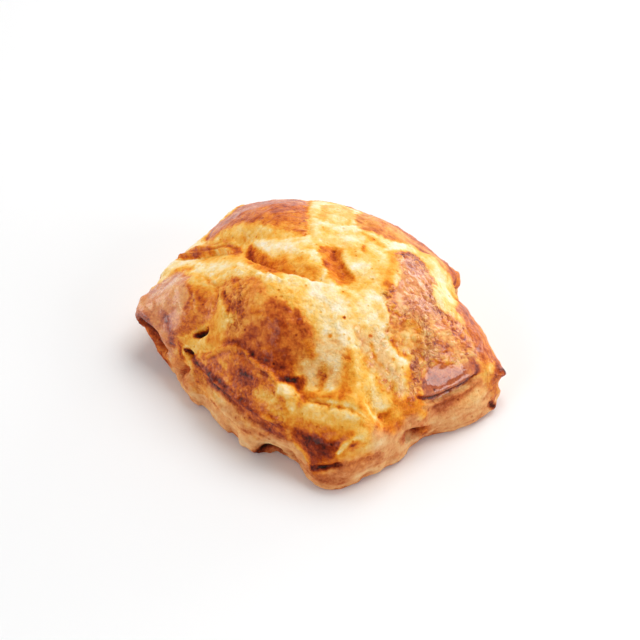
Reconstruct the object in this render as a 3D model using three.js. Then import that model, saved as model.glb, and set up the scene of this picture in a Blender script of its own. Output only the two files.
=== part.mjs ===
// A hand-shaped scone: one piece of baked dough with four uneven corners, a
// flat foot, low upright walls and a mounded top that split as it rose.
// Millimetres, +Z up. The origin is on the flat foot, under the middle of the
// piece. +X points to the sharp right corner, +Y to the broad back corner.
import * as THREE from "three";
import { mergeVertices } from "three/addons/utils/BufferGeometryUtils.js";

// Driving dimensions, mm.
const PEAK_HEIGHT = 35; // top of the mound over the foot
const WALL_BULGE = 1.3; // how far the walls belly out between foot and rim
const MOUND_FULLNESS = 2.1; // 2 is a plain parabolic mound, more is fuller
const MOUND_REACH = 42; // the mound is round in the middle, as if the rim were here
const RELIEF_REACH = 6; // how near to the rim the lumps and creases go

// The skin is a sphere of 20 * (SKIN_DETAIL + 1)^2 triangles. The shares say how
// much of them the foot and the walls take, and the rest goes to the top.
const SKIN_DETAIL = 21;
const FOOT_SHARE = 0.16;
const WALL_SHARE = 0.3;
const RELAX_PASSES = 2; // each moves every corner halfway to the mean of its neighbours

// Where the browned top meets the walls: [bearing from +X in degrees,
// distance from the middle, height], anticlockwise seen from above.
const RIM = [
  [7, 38.6, 15],
  [14, 37.4, 15],
  [17, 38.8, 15],
  [21, 43.4, 14.5],
  [26, 43.4, 15],
  [34, 40.8, 16],
  [44, 40.4, 17],
  [72, 41.8, 19],
  [84, 43.4, 20],
  [109, 46, 21],
  [118, 47.2, 20.5],
  [135, 44.2, 18.5],
  [146, 45.2, 17],
  [154, 46, 16],
  [168, 46.8, 14],
  [172, 49.6, 13],
  [176, 44, 12.5],
  [187, 37.4, 13.5],
  [195, 33.6, 15],
  [205, 31.4, 16],
  [218, 31.4, 15.5],
  [230, 32.2, 15],
  [246, 34.6, 15],
  [262, 37.8, 11.5],
  [269, 42, 10],
  [278, 43, 13],
  [288, 41, 16.5],
  [303, 38.2, 14.5],
  [310, 39, 13.5],
  [317, 37.8, 13],
  [334, 42.4, 13.5],
  [341, 45.4, 12],
  [346, 49.2, 8.5],
  [350, 45.4, 11.5],
  [356, 42.2, 13.5],
];

// Where the walls meet the foot, in the same form. The left corner curls up
// off the baking tray, and the rest of the foot is flat.
const FOOT = [
  [8, 36, 0],
  [22, 38.2, 0],
  [56, 38, 0],
  [97, 40.6, 0],
  [110, 43.2, 0],
  [137, 40.6, 0],
  [150, 41.8, 0.6],
  [162, 43.4, 3],
  [170, 45.4, 7],
  [174, 44.6, 5.5],
  [184, 38.8, 1.8],
  [190, 36.6, 0.3],
  [200, 35.8, 0],
  [210, 33, 0],
  [226, 34.2, 0],
  [244, 36.4, 0],
  [254, 34, 0],
  [262, 35.2, 0],
  [266, 41, 0],
  [270, 45.4, 0],
  [278, 45, 0],
  [285, 43, 0],
  [303, 39.2, 0],
  [311, 37.2, 0],
  [317, 38.4, 0],
  [326, 43.2, 0],
  [337, 46.8, 0],
  [342, 47.6, 0.4],
  [346, 48.6, 3],
  [351, 43.5, 1],
  [358, 38.5, 0],
];

// Lumps on the mound: middle, half sizes along and across, turn of the long
// side from +X in degrees, and rise.
const LUMPS = [
  { at: [-14, -11], half: [13, 10], turn: -50, rise: 3.6 }, // left front mound
  { at: [-37, 5], half: [9, 7], turn: 150, rise: 2.2 }, // left corner
  { at: [-15, 27], half: [15, 9], turn: 8, rise: 3.2 }, // back left hump
  { at: [17, 25], half: [16, 8], turn: -35, rise: 1.8 }, // back right shoulder
  { at: [26, 0], half: [9, 15], turn: -15, rise: 2.4 }, // right shoulder
  { at: [34, -14], half: [9, 7], turn: 25, rise: 2.2 }, // right corner
  { at: [4, -38], half: [11, 6], turn: 5, rise: 3.6 }, // front corner
  { at: [16, -36], half: [5, 5], turn: 0, rise: 2.4 }, // front right knuckle
  { at: [-18, -24], half: [11, 4], turn: -48, rise: 1.6 }, // left front strip
];

// Splits and creases in the top: a run of points, half width and depth.
const CREASES = [
  { along: [[-43, 28], [-36, 23], [-28, 18], [-20, 14.5], [-13, 5.5], [-6, -2.5]], half: 3.6, depth: 3.6 },
  { along: [[-31, 15], [-28, 8], [-26.5, 1], [-28, -6], [-33, -11]], half: 3, depth: 2 },
  { along: [[-33, -7], [-25, -14], [-16, -21], [-8, -25], [-2, -28]], half: 3.2, depth: 2.8 },
  { along: [[-7, -24], [0, -29], [7, -32], [14, -34]], half: 3.2, depth: 2.4 },
  { along: [[11, -24], [14.5, -29], [18, -33], [22, -38]], half: 3.4, depth: 3.2 },
  { along: [[2, 11], [4.5, 5], [6.5, -3], [8, -8]], half: 3, depth: 1.6 },
];
const DENTS_IN_CREASE = 24;

const TURN = 360;
const bearingOf = (x, y) => (THREE.MathUtils.radToDeg(Math.atan2(y, x)) + TURN) % TURN;

// A smooth closed curve through [bearing, distance, height] rows, as a
// function from bearing to { reach, height }.
function outline(rows) {
  const knot = (i) => {
    const lap = Math.floor(i / rows.length);
    const [bearing, reach, height] = rows[i - lap * rows.length];
    return { bearing: bearing + lap * TURN, reach, height };
  };
  // Slope at a knot: the harmonic mean of both sides, so that nothing overshoots.
  const slope = (i, key) => {
    const [a, b, c] = [knot(i - 1), knot(i), knot(i + 1)];
    const before = (b[key] - a[key]) / (b.bearing - a.bearing);
    const after = (c[key] - b[key]) / (c.bearing - b.bearing);
    return before * after <= 0 ? 0 : (2 * before * after) / (before + after);
  };
  return (bearing) => {
    let i = rows.findIndex((row) => row[0] > bearing);
    i = (i < 0 ? rows.length : i) - 1;
    const [a, b] = [knot(i), knot(i + 1)];
    const span = b.bearing - a.bearing;
    const t = (bearing - a.bearing) / span;
    const between = (key) =>
      (2 * t ** 3 - 3 * t ** 2 + 1) * a[key] +
      (t ** 3 - 2 * t ** 2 + t) * span * slope(i, key) +
      (3 * t ** 2 - 2 * t ** 3) * b[key] +
      (t ** 3 - t ** 2) * span * slope(i + 1, key);
    return { reach: between("reach"), height: between("height") };
  };
}

function lumpRise(x, y, { at, half, turn, rise }) {
  const angle = THREE.MathUtils.degToRad(turn);
  const [dx, dy] = [x - at[0], y - at[1]];
  const along = (dx * Math.cos(angle) + dy * Math.sin(angle)) / half[0];
  const across = (dy * Math.cos(angle) - dx * Math.sin(angle)) / half[1];
  return rise * Math.exp(-(along ** 2 + across ** 2));
}

// A crease as an even row of round dents that overlap into one smooth groove.
function dentsAlong({ along, half, depth }) {
  const run = new THREE.CatmullRomCurve3(along.map(([x, y]) => new THREE.Vector3(x, y, 0)));
  const spacing = run.getLength() / DENTS_IN_CREASE;
  const dentDepth = (depth * spacing) / (half * Math.sqrt(Math.PI));
  return { points: run.getSpacedPoints(DENTS_IN_CREASE), half, dentDepth };
}

function creaseFall(x, y, { points, half, dentDepth }) {
  const dents = points.map((dent) => Math.exp(-((x - dent.x) ** 2 + (y - dent.y) ** 2) / half ** 2));
  return dentDepth * dents.reduce((sum, dent) => sum + dent, 0);
}

const rim = outline(RIM);
const foot = outline(FOOT);
const creases = CREASES.map(dentsAlong);

// Height of the top skin at a share of the way from the middle to the rim.
function topHeight(bearing, share) {
  const edge = rim(bearing);
  const angle = THREE.MathUtils.degToRad(bearing);
  const x = share * edge.reach * Math.cos(angle);
  const y = share * edge.reach * Math.sin(angle);
  const moundReach = THREE.MathUtils.lerp(MOUND_REACH, edge.reach, share ** 2);
  const moundShare = (share * edge.reach) / moundReach;
  const mound = (PEAK_HEIGHT - edge.height) * (1 - moundShare ** MOUND_FULLNESS);
  const lumps = LUMPS.reduce((sum, lump) => sum + lumpRise(x, y, lump), 0);
  const falls = creases.reduce((sum, crease) => sum + creaseFall(x, y, crease), 0);
  return edge.height + mound + (1 - share ** RELIEF_REACH) * (lumps - falls);
}

// Moves a point of the unit sphere to its place on the skin: the lowest share
// of the sphere becomes the foot, the next the walls and the rest the top.
function placeOnSkin(point) {
  const bearing = bearingOf(point.x, point.y);
  const angle = THREE.MathUtils.degToRad(bearing);
  const level = (point.z + 1) / 2;
  const [low, high] = [foot(bearing), rim(bearing)];
  let reach, height;
  if (level < FOOT_SHARE) {
    const share = Math.sqrt(level / FOOT_SHARE);
    reach = share * low.reach;
    height = low.height * THREE.MathUtils.smoothstep(share, 0.55, 1);
  } else if (level < FOOT_SHARE + WALL_SHARE) {
    const rise = (level - FOOT_SHARE) / WALL_SHARE;
    const lean = THREE.MathUtils.smoothstep(rise, 0, 1);
    reach = THREE.MathUtils.lerp(low.reach, high.reach, lean);
    reach += WALL_BULGE * Math.sin(Math.PI * rise);
    height = THREE.MathUtils.lerp(low.height, high.height, rise);
  } else {
    const share = Math.sqrt((1 - level) / (1 - FOOT_SHARE - WALL_SHARE));
    reach = share * high.reach;
    height = topHeight(bearing, share);
  }
  point.set(reach * Math.cos(angle), reach * Math.sin(angle), height);
}

// Evens out the triangles and rounds the rim and the edge of the foot. Each
// corner's neighbours include itself.
function relax(skin) {
  const places = skin.attributes.position;
  const corners = Array.from({ length: places.count }, (_, i) =>
    new THREE.Vector3().fromBufferAttribute(places, i),
  );
  const neighbours = corners.map(() => new Set());
  for (let i = 0; i < skin.index.count; i += 3) {
    const triangle = [0, 1, 2].map((corner) => skin.index.getX(i + corner));
    triangle.forEach((from) => triangle.forEach((to) => neighbours[from].add(to)));
  }
  corners.forEach((corner, i) => {
    const mean = new THREE.Vector3();
    neighbours[i].forEach((j) => mean.addScaledVector(corners[j], 1 / neighbours[i].size));
    places.setXYZ(i, ...corner.clone().lerp(mean, 0.5));
  });
}

function sconeSkin() {
  const skin = new THREE.IcosahedronGeometry(1, SKIN_DETAIL);
  skin.deleteAttribute("normal");
  skin.deleteAttribute("uv");
  const merged = mergeVertices(skin, 1e-5);
  const places = merged.attributes.position;
  const point = new THREE.Vector3();
  for (let i = 0; i < places.count; i++) {
    placeOnSkin(point.fromBufferAttribute(places, i));
    places.setXYZ(i, point.x, point.y, point.z);
  }
  for (let pass = 0; pass < RELAX_PASSES; pass++) relax(merged);
  merged.computeBoundingBox();
  const middle = merged.boundingBox.getCenter(new THREE.Vector3());
  merged.translate(-middle.x, -middle.y, 0);
  merged.computeVertexNormals();
  return merged;
}

function bakedDough() {
  return new THREE.MeshStandardMaterial({ color: 0xd9944f, roughness: 0.55, metalness: 0 });
}

const scone = new THREE.Mesh(sconeSkin(), bakedDough());
scone.name = "scone";

const part = new THREE.Group();
part.add(scone);

export default part;
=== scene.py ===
"""The looks of one hand-shaped scone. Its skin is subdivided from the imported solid, then
split, lipped, wrinkled and blistered, and each point gets how brown, glazed and dry it is.

The skin is worked out in millimetres, in the frame's axes, and turned into metres at the end.
Front is -Y, where the camera stands.
"""
import math

import bmesh
import bpy
import numpy as np
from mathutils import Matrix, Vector, noise
from mathutils.bvhtree import BVHTree


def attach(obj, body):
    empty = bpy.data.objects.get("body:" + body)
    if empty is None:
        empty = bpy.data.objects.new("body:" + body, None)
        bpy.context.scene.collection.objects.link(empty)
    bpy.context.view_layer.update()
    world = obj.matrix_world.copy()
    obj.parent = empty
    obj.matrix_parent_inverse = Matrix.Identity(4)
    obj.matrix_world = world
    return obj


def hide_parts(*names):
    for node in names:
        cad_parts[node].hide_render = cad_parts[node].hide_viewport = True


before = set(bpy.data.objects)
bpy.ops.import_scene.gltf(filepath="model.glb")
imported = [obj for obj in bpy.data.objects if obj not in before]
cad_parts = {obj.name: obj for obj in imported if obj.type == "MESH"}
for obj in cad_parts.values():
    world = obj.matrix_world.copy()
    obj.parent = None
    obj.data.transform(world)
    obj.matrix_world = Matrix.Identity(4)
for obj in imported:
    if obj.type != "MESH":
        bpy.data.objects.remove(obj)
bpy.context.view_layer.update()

MM = 0.001
SUBDIVISIONS = 2
RUN_STEP = 0.35  # mm between the samples of a curve on the skin
OUTLINE_REACH = 6.0  # mm from an outline in which its distance is worked out
FOLD_END = 3  # mm past the end of a fold in which it dies out
PLY_REACH = 24  # mm on both sides of a curve in which plies can follow it
TOP_FACING = (0.3, 0.62)  # the z of the normal, from where the wall ends to where the top is full
BASE_FACING = (-0.45, -0.8)
SEED_STEP = 17.3  # how far apart the noise of two seeds is taken, in lumps
# How brown, dry, glossy, speckled and wrinkled a point is, how many mm it is across the lines of
# the dough, and how strong these are.
LAYERS = ("bake_and_shade", "dry", "glaze", "mottle", "wrinkle", "ply", "plies")

# ---- where things are on the skin, in mm

# Outlines on the top, seen from above.
HUMP = [
    (-30, 24), (-29.5, 31), (-26, 37), (-20, 42), (-12, 45), (-4, 44), (-2.3, 36), (-2.5, 28),
    (-2.5, 14), (-9, 13.5), (-15, 15.5), (-19.5, 17), (-24, 19.5), (-27.5, 21)]
HUMP_BROWN = [
    (-30, 25), (-29.5, 32), (-25, 38), (-18, 43), (-10, 45), (-3.5, 44), (-2.8, 30), (-2.8, 15),
    (-7, 15.5), (-12.5, 17.5), (-16, 21), (-21, 24), (-25.5, 25)]
TONGUE = [
    (-38, 24.8), (-35, 25.8), (-33.5, 26.3), (-31.5, 25), (-29.5, 23.5), (-27.5, 21.7),
    (-25.5, 20.8), (-23.5, 19.7), (-21, 17.7), (-19.5, 14.5), (-20.5, 12), (-22.5, 14.5),
    (-24, 16.7), (-26, 18.6), (-29, 19.4), (-32, 21.2), (-35.5, 23.2)]
GOLD_CORE = [
    (-19, 13.5), (-17, 15), (-14.5, 11.5), (-12, 8), (-9, 6), (-7, 2.5), (-7.5, -2), (-8.5, -6),
    (-10.5, -6.5), (-13.5, -3.5), (-16, 0.5), (-18.5, 5), (-19.3, 9)]
GOLD_LIGHT = [
    (-9, 6.5), (-4.5, 4.5), (-0.5, 1), (1.5, -3), (0, -5), (-3, -4.5), (-7, -2.5), (-9, 1.5)]
MOUND = [
    (-25, 1), (-22.5, 1), (-20, -2), (-17, -3), (-14, -7), (-11.5, -11), (-9, -12), (-6.5, -15),
    (-3, -16.7), (-0.9, -18.7), (-0.3, -21), (-0.5, -23.3), (-2, -25), (-5.5, -25.3), (-6.5, -26),
    (-8.5, -27.3), (-10.5, -27), (-14.5, -24), (-17, -22), (-18.5, -19.5), (-21.5, -17),
    (-25, -15), (-24, -12), (-20.5, -13), (-21.5, -10), (-24.5, -4)]
MOUND_BROWN = [
    (-12, -13), (-8.5, -13.5), (-5.5, -15.7), (-2.7, -18.5), (-1.8, -21), (-2, -23.5),
    (-3.7, -24.7), (-9.5, -26.5), (-14, -23.5), (-18, -20), (-20, -17), (-17, -15.5), (-14, -16)]
CORNER = [
    (-49, 8.5), (-47, 11.5), (-43, 13), (-39, 14), (-35.5, 12.5), (-32.5, 7), (-31.5, 4.5),
    (-27.5, 4.5), (-26, 0.5), (-25, -4.5), (-27, -6.5), (-31, -6), (-35.5, -5), (-38.5, -4.5),
    (-41, -0.5), (-44, 2.5), (-47, 5)]
CORNER_GLOSS = [
    (-49, 8.5), (-47, 11.5), (-43, 13), (-39, 14), (-35.5, 12), (-34, 7), (-33, 3), (-33.5, 0),
    (-35, -1.5), (-36, -3), (-38, -5), (-41, -0.5), (-44, 2.5), (-47, 5)]
STRIP = [
    (-31.5, -10.5), (-27.5, -13.5), (-21.5, -16.5), (-18, -19), (-14.5, -23.5), (-11.5, -26.5),
    (-10, -29), (-7.5, -31), (-6.5, -33), (-7.5, -36), (-11, -35), (-15, -32), (-19, -27.5),
    (-23, -23), (-27, -18.5), (-31, -14)]
LOBE = [
    (-6.5, -32.5), (-4, -32.5), (-1, -33.3), (2.5, -34.8), (6, -36.3), (9, -37.7), (12.5, -38.8),
    (12, -41), (9, -42.5), (4, -44), (-1, -43.5), (-4.5, -40.5), (-7, -37)]
PATCH = [
    (19, 7), (21.5, 11), (24, 12), (26.5, 10), (28, 8), (28.8, 4.5), (28.7, -2.5), (31, -4.8),
    (33, -5), (36, -5.5), (38.5, -9), (40.5, -13), (39, -15.5), (33.5, -18.5), (30, -19),
    (26.5, -21.5), (25.5, -25), (23, -29), (21.5, -28), (22.5, -24), (22.5, -20.5), (20, -20.5),
    (17.5, -18), (17.3, -13), (16.5, -9), (17.5, -6), (20.5, -3), (21, 1.5), (19.5, 4)]
PATCH_PINK = [
    (21, 5.5), (23.5, 8), (26, 6), (28, 2), (28.5, -3), (29.5, -6.5), (29.5, -9), (27, -11),
    (24.5, -11), (22, -9.5), (20, -8.5), (19.5, -6), (21, -1)]
PATCH_YELLOW = [
    (17.5, -15.5), (20, -14), (24, -13), (26, -16), (25, -19.5), (22, -19.5), (19, -19)]
GLOSS = [
    (25.3, -25), (25.7, -22), (28, -20.2), (30, -18.7), (33.5, -18), (37, -15.7), (39, -13.7),
    (40.5, -15), (38.5, -17.8), (36, -20), (33.5, -22), (31, -23.5), (28, -25.5), (26, -26.5)]
SMALL_PATCH = [
    (9, -19.5), (13, -17), (16, -18.5), (17.5, -21.5), (19.5, -25), (21, -27.5), (20, -29),
    (17.5, -28.5), (14.5, -26.5), (11.5, -24)]
WRINKLED = [
    (-5, -24), (-2, -21.5), (2, -20.5), (6, -21), (8.5, -24), (7.5, -28), (4, -30.5), (0, -30),
    (-3.5, -27)]
DIMPLE = [
    (-0.3, 7.5), (1.5, 9.5), (4, 9.8), (6.5, 8.3), (6.2, 4.5), (6.5, 1.5), (8.3, -1.2),
    (9.7, -3.8), (8.5, -5), (6, -6), (3.9, -5.5), (2.3, -3), (1, 0.5), (0, 4)]
BACK_GOLD = [
    (0.5, 25), (0.3, 21), (3, 19), (8, 19), (9.5, 21), (10, 25), (9, 31), (5, 35), (1.5, 32)]
BACK_BAND = [
    (9, 22), (10, 27), (13, 34), (20, 36), (28, 31), (36, 23), (41, 16), (38.5, 12.3), (34, 12),
    (31, 13), (26.5, 15.5), (21.5, 15.5), (17, 15.5), (13.5, 17), (11, 18.5)]
RIGHT_BAND = [
    (34.5, -2), (36.3, 3), (38.5, 8), (41, 2), (44, -5), (48, -12), (47, -17), (43, -17),
    (39.8, -16), (40, -13), (38.3, -9), (36, -5)]
LEFT_GOLD = [
    (-42, 10), (-34, 12), (-28, 8), (-22, 4), (-16, -1), (-9, -8), (-3, -12), (0, -18), (-1, -25),
    (-5, -30), (-7, -34), (-14, -32), (-22, -25), (-30, -14), (-36, -6)]
CRUMBS = [
    (-32.5, 12.5), (-31, 15), (-29, 13.5), (-26.5, 9.5), (-25, 5.5), (-26.5, 5), (-29, 6.5),
    (-31.5, 9.5)]
WHITE = [
    (-9, -6.5), (-6, -4), (-2, -5.5), (1, -5.5), (4.5, -8), (5, -12), (3, -16), (-0.5, -15),
    (-3.5, -12), (-7, -10)]

# Curves on the skin.
SPLIT = [
    (-19.5, 13.5, 27.5), (-17.5, 9, 28.5), (-14.5, 4.5, 30.5), (-11, 0.5, 32), (-7, -2.5, 33),
    (-2, -5, 34.5), (2.5, -6.5, 34.5)]
LIP = [
    (-21, 4, 31), (-19, 1, 32), (-16.5, -1.3, 33.5), (-14, -3.5, 34.5), (-11.5, -6, 35.5),
    (-9, -7.3, 36), (-6, -7.2, 35.8)]
TONGUE_EDGE = [
    (-38, 24.8, 16.3), (-35.5, 23.3, 18), (-32, 21.3, 20), (-29, 19.5, 21.8), (-26, 18.6, 23.5),
    (-24, 16.8, 25), (-22, 14.2, 26)]
TONGUE_RIDGE = [
    (-34, 24.6, 18.8), (-30.5, 22.6, 21), (-28, 20.6, 23), (-24, 19, 25.3), (-20.5, 16, 27)]
CORNER_SEAM = [(-32, 10, 23), (-28.5, 5.5, 25.8), (-25.5, 0, 26.5), (-25.5, -6, 24.5)]
ALMOND = [(-31.3, -7.2, 17.3), (-29.3, -7.8, 19), (-27.7, -7.8, 20.5)]
PINHOLE = [(-33.7, -7.9, 12.8), (-32.6, -9, 12.6), (-31.9, -10, 12.7)]
RIDGE = [
    (-32, -10, 12.5), (-29.8, -11.6, 14.5), (-27.5, -13.5, 17), (-24.5, -15, 20),
    (-21, -16.8, 22.3), (-18, -19.3, 23.3), (-16.7, -21.3, 23), (-14.3, -23.8, 23),
    (-11.5, -26.3, 22.7), (-9.5, -28.7, 21.4), (-6.7, -30.3, 20.4)]
MOUND_BUBBLES = [(-22.5, -2, 29), (-20, -6.5, 30), (-20.5, -11.5, 28)]
LOBE_SEAM = [
    (-5.5, -32.5, 18.7), (-2, -33, 20), (1.5, -34.3, 20.2), (6.5, -36, 20.3), (10, -37.2, 19.3),
    (12.5, -38.2, 17.5)]
STRIP_EDGE = [
    (-32, -11, 12.5), (-28.5, -15, 12.8), (-24, -21.3, 13), (-19, -26.8, 13.3), (-14, -31.3, 13.5),
    (-9.5, -34.5, 13)]
CORNER_EDGE = [
    (-46.5, 6, 13), (-43.5, 3, 12.8), (-41, 0.5, 12), (-39.5, -2, 10.7), (-38.5, -4.3, 9)]
GLOSS_EDGE = [
    (24.5, -27.5, 15.5), (29, -24.8, 13.3), (33.5, -21.8, 12.9), (37, -19.3, 13.1),
    (40, -16.5, 13.6)]
DIMPLE_EDGE = [(5.8, 7.5, 33.2), (6.2, 3, 33.5), (7.3, 0, 33.3), (9.5, -3.7, 33)]
HOLLOW = [(12.5, -30, 22), (13, -32.5, 20.5), (14.5, -34.5, 18.5), (16.5, -35, 16), (18, -35, 13)]
HOLLOW_SIDE = [(19, -30.5, 17), (19.7, -32.3, 15), (20, -33.7, 12.3)]
LOBE_RIDGE = [(13, -38.5, 16), (10.5, -40, 15.5), (8, -41, 14.5), (6, -42, 13), (5, -42.5, 11.5)]
CAVITY = [(-4, -27, 21), (-4.5, -29.5, 20.5), (-3.5, -31, 20), (-4.5, -32.5, 19)]
RECESS = [(-45.5, 4, 10), (-43, 1.5, 7), (-41, -1.5, 5)]
NOTCH = [(21.5, -33.5, 8), (24, -31.5, 7.3), (26.5, -28.7, 5)]
STREAK = [(7.7, -24.5, 27.5), (7, -28, 25), (6.5, -30.5, 23), (5.5, -33.5, 22)]
SHORT_STREAK = [(1.6, -26.5, 24.3), (1, -28.5, 22.3), (0, -31.5, 21)]
BACK_RIM = [(2, 43, 18), (9, 39, 19), (16, 33, 20), (23, 27, 20), (30, 20.5, 19), (37, 14.5, 16)]
WALL_CRACKS = [
    [(-33, 27, 8.5), (-27, 33, 9.5), (-20, 38, 9), (-14, 40.5, 9.8)],
    [(-9, 42, 13), (-2, 43, 12.2), (6, 42, 12.8)],
    [(3, 42, 7), (10, 40, 7.8), (18, 34, 7.2), (24, 29, 8)],
    [(22, 31, 12.5), (28, 25, 12), (34, 20, 12.6)], [(40, 4, 8.5), (41.5, -2, 9), (44, -7, 8)],
    [(-45, 14, 9), (-42, 19, 9.5), (-38, 23, 9)],
    [(-26, -19, 6.5), (-21, -25, 6), (-16, -30.5, 7)]]
RIGHT_RIM = [
    (37.5, 6, 16.5), (38.5, 0.5, 17), (39.8, -3.5, 16.3), (41.7, -7, 14.7), (43.5, -10.5, 12.5),
    (45.3, -13.5, 9.5)]

# Splits, seams, lips and hollow edges: a curve, then offsets to the right of it and the height of
# the skin there, and where given, how ragged it is and over what share of the ends it fades.
TOP_FOLDS = [
    (SPLIT, [-6, -4, -2.8, -0.3, 0.3, 1.1, 2, 5], [0, 0.5, -0.1, -1.4, -1.3, 0.2, 0.4, 0], 0.6),
    (LIP, [-2.5, -0.8, 0, 1.2, 3.5], [0, 0, 0.5, 0.1, 0], 1.2),
    (TONGUE_EDGE, [-2.5, -1, -0.2, 0.5, 1.3, 3], [0, 0.4, 0.9, -0.9, -0.6, 0], 0.4, 0.1),
    (TONGUE_RIDGE, [-1.6, -0.4, 0.3, 1.4], [0, 0.7, -0.4, 0], 0.4),
    (CORNER_SEAM, [-2.5, -1, 0, 1, 2.5], [0, 0.1, -0.4, 0.1, 0], 0.8),
    (RIDGE, [-3, -1.2, -0.5, 0.2, 1.1, 3.5], [0, -0.5, -0.3, 0.35, -0.15, 0], 0.7),
    (LOBE_SEAM, [-3, -1, 0, 1.2, 4], [0, -0.2, -0.6, 0.1, 0], 1.3, 0.3),
    (LOBE_RIDGE, [-2.5, -0.6, 0.2, 2.5], [0, 0.4, 0.4, 0]),
    (DIMPLE_EDGE, [-3, -1.2, -0.2, 0.6, 2.2, 5], [0, 0.35, 0.5, -0.45, -0.8, 0], 0.25, 0.2)]
WALL_FOLDS = [
    (STRIP_EDGE, [-5, -2, -0.4, 0.5, 2.2, 5, 8], [0, 0.5, 1.1, -0.7, -1.1, -0.4, 0]),
    (CORNER_EDGE, [-3, -0.8, 0.2, 1.1, 2, 4.2, 5.6, 7], [0, 0.4, 0.3, -1.8, -2.7, -2.5, -0.6, 0],
     0.1, 0.1),
    (GLOSS_EDGE, [-3, -0.7, 0.3, 1.3, 2, 2.8, 5], [0, 0.5, -0.9, -0.6, 0.3, -0.3, 0], 0.12),
    (NOTCH, [-5, -2.8, -1.8, -0.5, 1.8, 3.2], [0, 0.1, 0.5, -3.3, -3, 0], 0.25, 0.25)]
# Hollows of the top and walls: where, how wide and how deep. A negative depth is a swelling.
TOP_DENTS = [
    (HOLLOW, 4.3, 2.3), (STREAK, 3, 0.4), (SHORT_STREAK, 2.4, 0.5),
    ([(-8, -27.6, 21.7), (-6.5, -27, 21.3), (-4.8, -26.6, 21.5)], 1.3, 1),
    (ALMOND, 1.4, 2), (PINHOLE, 1.2, 1.8), ([(4, 7.7, 33)], 1.3, 0.8),
    ([(11.5, 8, 33.5)], 1.5, -0.5), (CAVITY, 2.8, 1)]
WALL_DENTS = [
    # Two lobes of dough under the left corner, with a pinch between them.
    ([(-36, -7, 8)], 4, -0.9), ([(-32.5, -12.5, 6)], 4.5, -1.2),
    ([(-36.8, -8, 2), (-35.3, -9.3, 6), (-32.5, -11, 10)], 1.8, 1.7),
    # Hollows and the slit at the foot of the walls.
    ([(-15, -33, 1), (-12, -33, 2.5), (-9, -34, 1)], 3.4, 2.2),
    ([(-2, -42.5, 6), (1, -43.5, 7.3), (6.5, -43.7, 9)], 1.2, 1.1),
    # The nick at the right end of the back rim, and the wall that falls back behind it.
    ([(39, 16.5, 8), (38.5, 15, 11.5), (38, 12.7, 15), (37, 10, 17)], 5, 3.2),
    ([(41, 12, 11)], 8, 1.6), ([(34, 20.3, 18), (37.3, 19, 16.3)], 4, 0.9),
    # The corners at the left and right.
    ([(-47, 9, 12.5)], 3, -0.3), ([(-44, 14.7, 14.3), (-41.5, 19.5, 15.3)], 4, 0.8),
    ([(-46.3, 5.5, 10), (-44.4, 3.8, 6.7), (-41.7, 0.7, 4.7)], 3.5, 0.6),
    ([(47.4, -10, 7), (46.5, -13.5, 4)], 5, 1.7), ([(41.5, -1.4, 13.5)], 5, -0.8),
    ([(44.5, -17.2, 2.2)], 2.2, -0.9), ([(46.4, -12.2, 9)], 2.2, -1.3),
    ([(38, 6, 15.5)], 3.5, -0.5), ([(-45.5, 10.8, 13.8)], 3, -1.1),
    ([(38.5, 18, 10)], 6, 1.8), ([(37.5, 18, 14.5)], 3.2, 1.1), ([(37.5, 17, 14)], 2, 0.6),
    ([(-37.4, -5.5, 4)], 3, 0.7), ([(-17.7, -31.3, 2)], 2.5, 0.7), ([(-12.4, -31.5, 1)], 2.2, -0.8),
    ([(-6.8, -34.8, 3), (-4.6, -37.2, 3)], 3.5, 0.8), ([(11.9, -41.2, 2)], 3.5, 0.7),
    # The outline from above: the hump's back, the tongue's tip and the foot.
    ([(-22, 40, 21)], 8, -0.5), ([(-24.5, 38.5, 21)], 5, 0.8), ([(-37, 26, 17.5)], 3, 0.7),
    ([(-31, 28, 20)], 3.5, 1.1), ([(-33, -13, 2.5), (-30, -16.3, 2)], 4.5, -0.7),
    ([(-22.8, -25.3, 1.6), (-19.5, -29.5, 1.2)], 6, 0.9), ([(19.9, -34.4, 1.5)], 4, -0.7)]

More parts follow.
